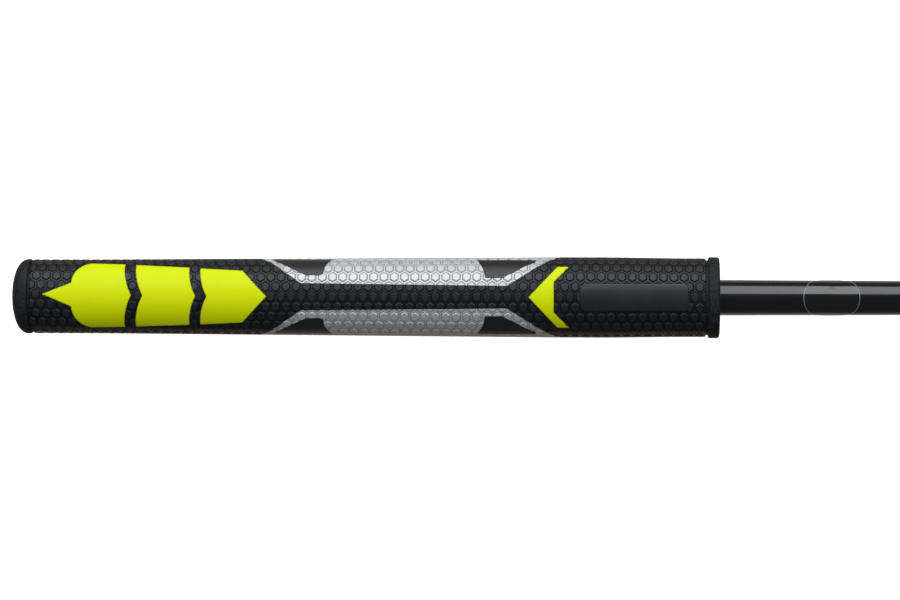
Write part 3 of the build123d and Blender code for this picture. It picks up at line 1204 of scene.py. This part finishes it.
def tangent_arc(before: Point, start: Point, end: Point, steps: int = 12) -> Array:
    """An arc from start to end that carries on the line from before to start.

    It turns by twice the angle between that line and the chord, with equal steps of turn.

    Args:
        before: a point on the line.
        start: where the arc begins.
        end: where it ends.
        steps: pieces in the arc.

    Returns:
        Rows of x and y.
    """
    first, last = np.array(start, float), np.array(end, float)
    line, chord = first - np.array(before, float), last - first
    heading = math.atan2(line[1], line[0])
    lean = math.atan2(chord[1], chord[0]) - heading
    turns = lean * np.linspace(0, 1, steps + 1)
    reach = np.linalg.norm(chord) * np.sin(turns) / math.sin(lean)
    return first + reach[:, None] * np.column_stack([np.cos(heading + turns), np.sin(heading + turns)])


@dataclass(frozen=True)
class BandEnd:
    """One end of a silver band's outline, placed by the window in it.

    Places along are shares of that window's length. The straight inner edge stops at corner,
    which lies out from it by shift. From bend to tip, each with a distance out, the outline
    sweeps over the side, and it is closed at the distance beyond.
    """

    end: str
    corner: float
    shift: float
    bend: tuple[float, float]
    tip: tuple[float, float]
    beyond: float = 20.0

    def outline(self, inner: float) -> Array:
        """From the corner out over the side.

        Args:
            inner: how far out the band's inner edge is.

        Returns:
            Rows of x and distance out.
        """
        window = Span.of(f"window_front_upper_{self.end}")
        corner = (window.at(self.corner), inner + self.shift)
        bend, tip = ((window.at(share), out) for share, out in (self.bend, self.tip))
        return np.array([corner, *tangent_arc(corner, bend, tip), (tip[0], self.beyond)])


@dataclass
class Grip(Assembly):
    """The oval grip's wrap: studded skin, silver bands, inlays and seam.

    The skin and its panels are depth thick, and tops and edges are heights from its face. Over
    the length end_round the skin falls by end_drop at its ends. Studs are sharp at edges that
    turn more than stud_crease degrees. The windows reach further out by window_out, and at the
    butt further in by window_in, than the CAD's.
    """

    form: OvalForm = field(default_factory=OvalForm.from_frame)
    studs: StudPattern = field(default_factory=StudPattern)
    depth: float = 0.8
    seam: float = 3.3
    seam_edge: float = -0.16
    seam_crown: float = 0.08
    end_round: float = 0.5
    end_drop: float = 0.3
    stud_crease: float = 15.0
    label_corner: float = 2.0
    label_top: float = -0.1
    window_top: float = -0.12
    window_in: float = 0.25
    window_out: float = 0.35
    band_ends: tuple[BandEnd, BandEnd] = (
        BandEnd("butt", 0.502, 0.7, (0.068, 11.4), (-0.313, 14.9)),
        BandEnd("mouth", 0.508, -0.2, (0.950, 11.05), (1.382, 15.5)),
    )

    def label_outline(self) -> Array:
        """The bare label pad: a rectangle with round corners.

        Returns:
            Rows of x and y.
        """
        box, corner = Span.of("label_pad"), self.label_corner
        x0, x1, wide = box.low.x + corner, box.high.x - corner, box.half_width - corner
        middles = np.array([(x1, wide), (x1, -wide), (x0, -wide), (x0, wide)])
        turn = np.radians(np.linspace(0, 90, 7) + [[0], [90], [180], [270]])
        arcs = middles[:, None] + corner * np.stack([np.sin(turn), np.cos(turn)], -1)
        return arcs.reshape(-1, 2)

    def window_outline(self, end: str) -> Array:
        """The +Y window at one end of the band: a slant, a straight inner edge and an arc.

        Args:
            end: the end's name.

        Returns:
            Rows of x and y.
        """
        box = Span.of(f"window_front_upper_{end}")
        low = box.low.y - (self.window_in if end == "butt" else 0.0)
        high = box.high.y + self.window_out
        return drawn(WINDOW_STROKES[end], lambda along, out: (box.at(along), low + out * (high - low)))

    def band_outline(self) -> Array:
        """The +Y band: a straight inner edge whose ends sweep out over the side."""
        butt, mouth = (end.outline(Span.of("silver_band_upper").low.y) for end in self.band_ends)
        return np.concatenate([butt[::-1], mouth])

    def inlays(self) -> Iterable[Inlay]:
        """Every smooth panel.

        Yields:
            Lime panels, the label pad, then the windows.
        """
        for name, strokes in LIME_STROKES.items():
            node = f"lime_{name}_panel"
            outline = mirrored(drawn(strokes, Span.of(node).point))
            yield Inlay(f"lime_{name}_inlay", node, "lime_panel", Finish.LIME, outline)
        label = self.label_outline()
        yield Inlay("bare_label_pad", "label_pad", "label_pad", Finish.LABEL, label, self.label_top)
        for end in WINDOW_STROKES:
            for side, sign in (("upper", 1), ("lower", -1)):
                outline = self.window_outline(end) * [1, sign]
                for face in ("front", "back"):
                    node = f"window_{face}_{side}_{end}"
                    yield Inlay(
                        f"{node}_inlay", node, "window_black", Finish.WINDOW, outline,
                        self.window_top, sign, turned=face == "back",
                    )

    def skin_field(self, x: Array, around: Array) -> Array:
        """Distance to the nearest end or to the seam strip, positive on the skin."""
        ends = np.minimum(x - self.form.start, self.form.end - x)
        return np.minimum(ends, (self.form.girth - self.seam) / 2 - np.abs(around))

    def build_skin(self, inlays: Sequence[Inlay]) -> None:
        """Carve the studded patch into the black skin and the two silver bands.

        Args:
            inlays: the panels, whose holes are left out of it.
        """
        body, _ = self.studs.patch(self.form, self.seam).carve(self.skin_field)
        for inlay in inlays:
            if not inlay.turned:
                _, body = body.carve(inlay.hole(self.form))
        bands = {}
        for name, side in (("upper", 1), ("lower", -1)):
            bands[name], body = body.carve(side_field(self.form, self.band_outline(), side))
        self.add_studs("studded_skin", body, Finish.SKIN, "grip_skin", "grip_skin")
        for name, band in bands.items():
            node = f"silver_band_{name}"
            self.add_studs(f"{node}_studs", band, Finish.SILVER, "silver_band", node)

    def add_studs(self, name: str, patch: Patch, finish: Finish, slot: str, node: str) -> None:
        """Close a studded patch and add it, with its relief as an attribute.

        Args:
            name: the piece's name.
            patch: the part of the stud pattern.
            finish: its finish.
            slot: the record's material slot.
            node: the CAD node that it replaces.
        """
        patch = patch.welded()
        ends = np.minimum(patch.points[:, 0] - self.form.start, self.form.end - patch.points[:, 0])
        patch.points[:, 2] -= self.end_drop * np.clip(1 - ends / self.end_round, 0, 1) ** 2
        solid = patch.closed(-self.depth)
        relief, places = np.tile(patch.points[:, 2], 2), self.form.place(solid.points)
        piece = mesh_object(name, places, solid.faces, self.stud_crease, relief=relief)
        self.add(piece, finish, slot, node)

    def build_seam(self) -> None:
        """The smooth strip along the middle of the back, crowned by a cosine across its width."""
        form, half = self.form, self.seam / 2
        middle = form.girth / 2
        x = np.linspace(form.start, form.end, 129)
        patch = grid_patch(x, np.linspace(middle - half, middle + half, 13))
        across = (patch.points[:, 1] - middle) / half
        patch.points[:, 2] = self.seam_edge + self.seam_crown * np.cos(across * math.pi / 2)
        solid = patch.closed(-self.depth)
        edge = np.tile((1 - np.abs(across)) * half, 2)
        piece = mesh_object("seam_strip_smooth", form.place(solid.points), solid.faces, edge=edge)
        self.add(piece, Finish.SEAM, "seam", "seam_strip")

    def build(self) -> None:
        """Build every piece of the wrap and paint the CAD nodes hidden inside."""
        inlays = list(self.inlays())
        self.build_skin(inlays)
        for inlay in inlays:
            self.add(inlay.build(self.form, -self.depth), inlay.finish, inlay.slot, inlay.node)
        self.build_seam()
        hidden = (("felt_backing", Finish.FELT), ("foam_core", Finish.FOAM), ("grip_tape", Finish.TAPE))
        for node, finish in hidden:
            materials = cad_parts[node].data.materials
            materials.clear()
            materials.append(material_of(finish))
            LOG.info("%s: kept from the frame, %s", node, finish.name.lower())


@dataclass
class GripEnds(Assembly):
    """The butt cap and the mouth ring: oval outside, round at the vent and at the shaft.

    The cap's dome is a superellipse of that length and power, which starts off the vent's edge
    by dome_start; rim_edge steps back from the rim's end and in from its radius. Both grooves
    lie below the skin, and both pieces reach in under it by overlap. The ring's two rounded
    edges, the bevel round the shaft (width, depth) and the gap at its foot follow. cap_round
    and ring_round say up to which radius each is round and from which it is oval, for the ring
    counted from the shaft's surface.
    """

    form: OvalForm = field(default_factory=OvalForm.from_frame)
    dome: float = 6.1
    power: float = 2.3
    rim: float = 7.0
    rim_edge: tuple[tuple[float, float], ...] = ((0.35, 0.0), (0.08, 0.12), (0.0, 0.4))
    cap_groove: float = 1.2
    vent: float = 1.5
    vent_depth: float = 4.0
    vent_lip: tuple[tuple[float, float], ...] = ((0.35, 0.0), (0.1, 0.1))
    dome_start: float = 0.3
    overlap: float = 0.2
    ring_gap: float = 0.8
    ring_groove: float = 0.8
    ring_edges: tuple[float, float] = (0.8, 1.1)
    bore_bevel: tuple[float, float] = (0.6, 0.5)
    bore_gap: float = 0.1
    cap_round: tuple[float, float] = (2.0, 4.5)
    ring_round: tuple[float, float] = (0.7, 2.5)
    steps: int = 144

    def squash(self, radius: Array, inner: float, outer: float) -> Array:
        """Depth over width: 1 within the inner radius, the grip's beyond the outer one."""
        share = np.clip((outer - radius) / (outer - inner), 0, 1)
        return self.form.ratio + (1 - self.form.ratio) * share

    def build_cap(self) -> None:
        """The cap: a superellipse dome, ((d - x) / d)^n + (r / R)^n = 1, vent, rim and groove.

        The dome's points have radii v + (R - v) sin(t)^(2 / n), for t up to a quarter turn,
        where v is the radius at which the dome starts.
        """
        radius, dome_start = Span.of("butt_cap").half_width, self.vent + self.dome_start
        groove, inside = self.form.butt_half - self.cap_groove, self.form.start + self.overlap
        turn = np.linspace(0, math.pi / 2, 26)[1:]
        across = (radius - dome_start) * np.sin(turn) ** (2 / self.power) + dome_start
        fall = np.clip(1 - (across / radius) ** self.power, 0, 1) ** (1 / self.power)
        profile = np.array([
            (self.vent_depth, 0.0),
            (self.vent_depth, self.vent),
            *((along, self.vent + out) for along, out in self.vent_lip),
            *zip(self.dome * (1 - fall), across),
            *((self.rim - back, radius - drop) for back, drop in self.rim_edge),
            (self.rim, groove),
            (inside, groove),
            (inside, 0.0),
        ])
        ratio = self.squash(profile[:, 1], *self.cap_round)
        piece = lathe("butt_cap_moulding", profile, ratio, self.steps)
        self.add(piece, Finish.RUBBER, "rubber_cap", "butt_cap")

    def build_ring(self) -> None:
        """The mouth ring: a rounded lip that closes in to the shaft with a bevel."""
        box = Span.of("mouth_ring")
        radius, start, end = box.half_width, self.form.end + self.ring_gap, box.high.x
        groove, inside = self.form.mouth_half - self.ring_groove, self.form.end - self.overlap
        bore, (bevel, foot) = Shaft().radius(end), self.bore_bevel
        corners = [
            (inside, 0.0), (inside, groove), (start, groove), (start, radius), (end, radius),
            (end, bore + bevel), (end - foot, bore + self.bore_gap), (end - foot, 0.0),
        ]
        profile = rounded(corners, dict(zip((3, 4), self.ring_edges)))
        ratio = self.squash(profile[:, 1] - bore, *self.ring_round)
        piece = lathe("mouth_ring_moulding", profile, ratio, self.steps)
        self.add(piece, Finish.RUBBER, "rubber_ring", "mouth_ring")

    def build(self) -> None:
        """Build the cap and the ring."""
        self.build_cap()
        self.build_ring()


# --- the shaft and the tip
@dataclass
class Shaft(Assembly):
    """The tapered tube and the round film on it.

    The film's rings of points are shares of its radius; its rim is thinner, by the factor
    film_thin, over the width film_edge.
    """

    tip: float = 4.70
    taper_start: float = 47.0
    taper_end: float = 768.0
    film: float = 0.12
    film_edge: float = 0.2
    film_thin: float = 0.35
    film_rings: tuple[float, ...] = (0.25, 0.5, 0.75, 0.9, 0.955, 0.975, 0.99, 1.0)
    film_spokes: int = 96

    def radius(self, x: Array | float) -> Array:
        """Radius at x: parallel, straight taper, parallel.

        Args:
            x: places along the stick.

        Returns:
            Radii.
        """
        butt = Span.of("shaft").half_width
        share = np.clip((np.asarray(x) - self.taper_start) / (self.taper_end - self.taper_start), 0, 1)
        return butt + (self.tip - butt) * share

    def place(self, points: Array) -> Array:
        """Points on the tube: the angle is arc length over radius, then height goes outwards.

        Args:
            points: rows of place along, arc length round and height.

        Returns:
            Rows of x, y and z.
        """
        x, around, height = points.T
        radius = self.radius(x)
        angle, outside = around / radius, radius + height
        return np.column_stack([x, outside * np.sin(angle), outside * np.cos(angle)])

    def build_tube(self) -> None:
        """The tube, closed at both hidden ends."""
        box = Span.of("shaft")
        taper = np.linspace(self.taper_start, self.taper_end, 25)
        stations = np.concatenate([[box.low.x], taper, [box.high.x]])
        outside = np.column_stack([stations, self.radius(stations)])
        profile = np.concatenate([[(box.low.x, 0.0)], outside, [(box.high.x, 0.0)]])
        self.add(lathe("shaft_tube", profile, steps=128), Finish.SHAFT, "shaft_lacquer", "shaft")

    def build_film(self) -> None:
        """The film: a flat disc in rings and spokes, wrapped on the tube."""
        box = Span.of("shaft_decal")
        turn = np.arange(self.film_spokes) * math.tau / self.film_spokes
        rings = box.length / 2 * np.array(self.film_rings)[:, None, None]
        circles = (rings * np.stack([np.cos(turn), np.sin(turn)], -1)).reshape(-1, 2)
        disc = np.concatenate([np.zeros((1, 2)), circles])
        edge = box.length / 2 - np.hypot(*disc.T)
        height = self.film * np.clip(edge / self.film_edge, self.film_thin, 1)
        faces = disc_faces(self.film_spokes, len(self.film_rings))
        solid = Patch(np.column_stack([disc + [box.at(0.5), 0.0], height]), faces).closed(0.0)
        piece = mesh_object("shaft_film", self.place(solid.points), solid.faces, edge=np.tile(edge, 2))
        self.add(piece, Finish.FILM, "decal_film", "shaft_decal")

    def build(self) -> None:
        """Build the tube and its film."""
        self.build_tube()
        self.build_film()


@dataclass
class Tip(Assembly):
    """The ferrule, the turned weight and the rubber bumper at the far end.

    The ferrule meets the weight at the radius neck. The weight has its full radius from
    shoulder_end on, where the bend has the radius shoulder_round, and grooves from those places.
    """

    ferrule_wall: float = 0.7
    ferrule_edge: float = 0.5
    neck: float = 7.4
    shoulder_end: float = 862.0
    shoulder_round: float = 3.0
    broken_edge: float = 0.4
    grooves: tuple[float, ...] = (870.0, 876.0, 882.0)
    groove_width: float = 1.6
    groove_wall: float = 0.2
    groove_depth: float = 0.7
    bumper_edges: tuple[float, float] = (0.3, 4.5)

    def build_ferrule(self) -> None:
        """The ferrule: a straight-sided taper with a rounded thin end."""
        box = Span.of("ferrule")
        thin = Shaft().tip + self.ferrule_wall
        corners = [(box.low.x, 0.0), (box.low.x, thin), (box.high.x, self.neck), (box.high.x, 0.0)]
        piece = lathe("ferrule_sleeve", rounded(corners, {1: self.ferrule_edge}))
        self.add(piece, Finish.FERRULE, "ferrule_plastic", "ferrule")

    def build_weight(self) -> None:
        """The weight: a tapered shoulder, then a bar with grooves and broken edges."""
        box = Span.of("tip_weight")
        radius, end = box.half_width, Span.of("tip_bumper").low.x
        floor = radius - self.groove_depth
        corners = [(box.low.x, 0.0), (box.low.x, self.neck), (self.shoulder_end, radius)]
        for near in self.grooves:
            far = near + self.groove_width
            floor_ends = ((near + self.groove_wall, floor), (far - self.groove_wall, floor))
            corners += [(near, radius), *floor_ends, (far, radius)]
        corners += [(end, radius), (end, 0.0)]
        radii = {1: self.broken_edge, 2: self.shoulder_round, len(corners) - 2: self.broken_edge}
        piece = lathe("turned_tip_weight", rounded(corners, radii), steps=128)
        self.add(piece, Finish.STEEL, "weight_steel", "tip_weight")

    def build_bumper(self) -> None:
        """The bumper: a short rubber cup with a rounded rim and a flat end."""
        box = Span.of("tip_bumper")
        start, end, radius = box.low.x, box.high.x, box.half_width
        corners = [(start, 0.0), (start, radius), (end, radius), (end, 0.0)]
        profile = rounded(corners, dict(zip((1, 2), self.bumper_edges)), 10)
        self.add(lathe("rubber_tip_bumper", profile, steps=128), Finish.BUMPER, "rubber_bumper", "tip_bumper")

    def build(self) -> None:
        """Build the tip's three pieces."""
        self.build_ferrule()
        self.build_weight()
        self.build_bumper()


# --- the studio
@dataclass(frozen=True)
class Softbox:
    """A rectangular soft light that leans over the stick from its +Y side.

    Its middle is lean degrees from straight up and at that distance from the grip; its size is
    its length along the stick and its height. Gloss shows it only if it is mirrored.
    """

    name: str
    lean: float
    distance: float
    size: tuple[float, float]
    radiance: float
    colour: Colour
    mirrored: bool = True

    def build(self, target: Vector) -> None:
        """Hang the light; power = radiance * pi * area.

        Args:
            target: the point that the light leans over.
        """
        width, height = (side * MM for side in self.size)
        light = bpy.data.lights.new(self.name, "AREA")
        light.shape, light.size, light.size_y = "RECTANGLE", width, height
        light.energy, light.color = self.radiance * math.pi * width * height, self.colour
        lamp = bpy.data.objects.new(self.name, light)
        lean = math.radians(self.lean)
        lamp.location = target + Vector((0.0, math.sin(lean), math.cos(lean))) * self.distance * MM
        lamp.rotation_euler = (-lean, 0.0, 0.0)
        lamp.visible_glossy = self.mirrored
        bpy.context.scene.collection.objects.link(lamp)


@dataclass
class Studio:
    """A pale floor, soft lights and the camera above.

    The camera is at distance above the axis, over the place stand, and sees as far as far, in
    metres. It aims at the place aim and at off_axis on the -Y side, and is rolled by roll
    degrees. Light comes from the dim air all round, and warmer from the ground below.
    """

    distance: float = 1150.0
    focal: float = 122.3
    aim: float = 165.9
    stand: float = 229.0
    off_axis: float = 1.1
    roll: float = 0.13
    sensor: float = 36.0
    far: float = 50.0
    floor_reach: float = 4000.0
    floor_gap: float = 0.02
    floor_glow: float = 0.95
    lights: tuple[Softbox, ...] = (
        Softbox("side_softbox", 53.0, 1100.0, (2200.0, 1150.0), 2.6, (0.93, 0.97, 1.0)),
        Softbox("top_fill", 8.0, 1300.0, (2000.0, 1000.0), 1.35, (1.0, 1.0, 1.0), False),
    )
    air: Colour = (0.10, 0.10, 0.10)
    ground: Colour = (0.62, 0.52, 0.42)

    def build_floor(self) -> None:
        """A wide level sheet just under the stick, which glows white as an overlit sweep does."""
        level = CAD_BOX[0].z / MM - self.floor_gap
        square = ((-1, -1), (1, -1), (1, 1), (-1, 1))
        corners = np.array([(x * self.floor_reach, y * self.floor_reach, level) for x, y in square])
        mesh = bpy.data.meshes.new("floor")
        mesh.from_pydata((corners * MM).tolist(), [], [(0, 1, 2, 3)])
        floor = bpy.data.objects.new("floor", mesh)
        bpy.context.scene.collection.objects.link(floor)
        shader = Shader.named("pale_floor")
        mesh.materials.append(shader.finish({
            "Base Color": shader.blend(shader.noise(600.0), (0.9, 0.9, 0.9), (0.93, 0.93, 0.93)),
            "Roughness": 0.9,
            "Emission Color": (1.0, 1.0, 1.0, 1.0),
            "Emission Strength": self.floor_glow,
        }))
        floor.visible_glossy = floor.visible_diffuse = False

    def build_air(self) -> None:
        """Dim light from all round: its colour goes over to the ground's as the direction's z falls."""
        world = bpy.data.worlds.new("studio_air")
        shader = Shader(world)
        direction = shader.node("ShaderNodeTexCoord", output="Generated")
        height = shader.node("ShaderNodeSeparateXYZ", values={0: direction}, output="Z")
        colour = shader.blend(height.rise(-0.2, -0.9), self.air, self.ground)
        surface = shader.node("ShaderNodeBackground", values={"Color": colour, "Strength": 1.0})
        shader.node("ShaderNodeOutputWorld", values={"Surface": surface})
        bpy.context.scene.world = world

    def build_camera(self) -> None:
        """A long lens above the grip's mouth half, turned a little towards the butt."""
        data = bpy.data.cameras.new("camera")
        data.lens, data.sensor_width, data.clip_end = self.focal, self.sensor, self.far
        camera = bpy.data.objects.new("camera", data)
        target = Vector((self.aim, -self.off_axis, 0.0)) * MM
        eye = Vector((self.stand, -self.off_axis, self.distance)) * MM
        back = (eye - target).normalized()
        roll = math.radians(self.roll)
        right = Vector((-math.sin(roll), math.cos(roll), 0.0)).cross(back).normalized()
        turn = Matrix((right, back.cross(right), back)).transposed().to_4x4()
        camera.matrix_world = Matrix.Translation(eye) @ turn
        bpy.context.scene.collection.objects.link(camera)
        bpy.context.scene.camera = camera

    def build(self) -> None:
        """Set the stage and the colour management."""
        bpy.context.scene.view_settings.view_transform = "Standard"
        self.build_camera()
        self.build_floor()
        self.build_air()
        for light in self.lights:
            light.build(Vector((self.aim, 0.0, 0.0)) * MM)


def main() -> None:
    """Build the stick piece by piece."""
    logging.basicConfig(level=logging.INFO, format="%(name)s %(message)s")
    Studio().build()
    for assembly in (Grip(), GripEnds(), Shaft(), Tip()):
        assembly.build()
        LOG.info("%s done, %d pieces", type(assembly).__name__, len(assembly.pieces))


if __name__ == "__main__":
    main()
